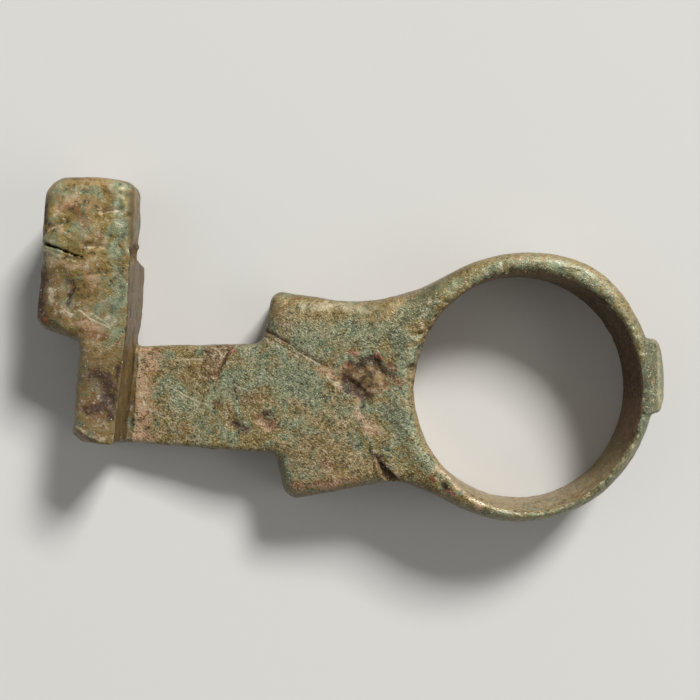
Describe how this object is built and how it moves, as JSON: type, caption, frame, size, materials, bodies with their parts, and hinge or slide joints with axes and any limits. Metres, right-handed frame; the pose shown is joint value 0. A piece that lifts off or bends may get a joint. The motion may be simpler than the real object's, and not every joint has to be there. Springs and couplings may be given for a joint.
{
  "type": "roman bronze ring key",
  "caption": "Bronze finger-ring key: round hoop with a raised bezel, stepped shoulder plate, flat shank and an upright bit with slit teeth, for a small lock.",
  "frame": {"origin": "centre of the hoop's bore on the flat back of the key", "axes": "+Z along the bore's axis, from the flat back to the front that the picture shows; +X from the bit to the bezel; +Y towards the raised end of the bit"},
  "size_m": [0.05, 0.0273, 0.007],
  "materials": {
    "hoop_bronze": "green-brown patina, worn at the rims",
    "bezel_bronze": "olive-tan patina, worn",
    "neck_bronze": "grey-green granular patina with brown edges",
    "bit_bronze": "grey-green granular patina with dark pits"
  },
  "bodies": {
    "root": {"hoop": "hoop_bronze", "bezel": "bezel_bronze", "shoulder_plate": "neck_bronze", "shank": "neck_bronze", "bit_stem": "bit_bronze", "bit_upper_tooth": "bit_bronze", "bit_lower_tooth": "bit_bronze"}
  },
  "joints": []
}
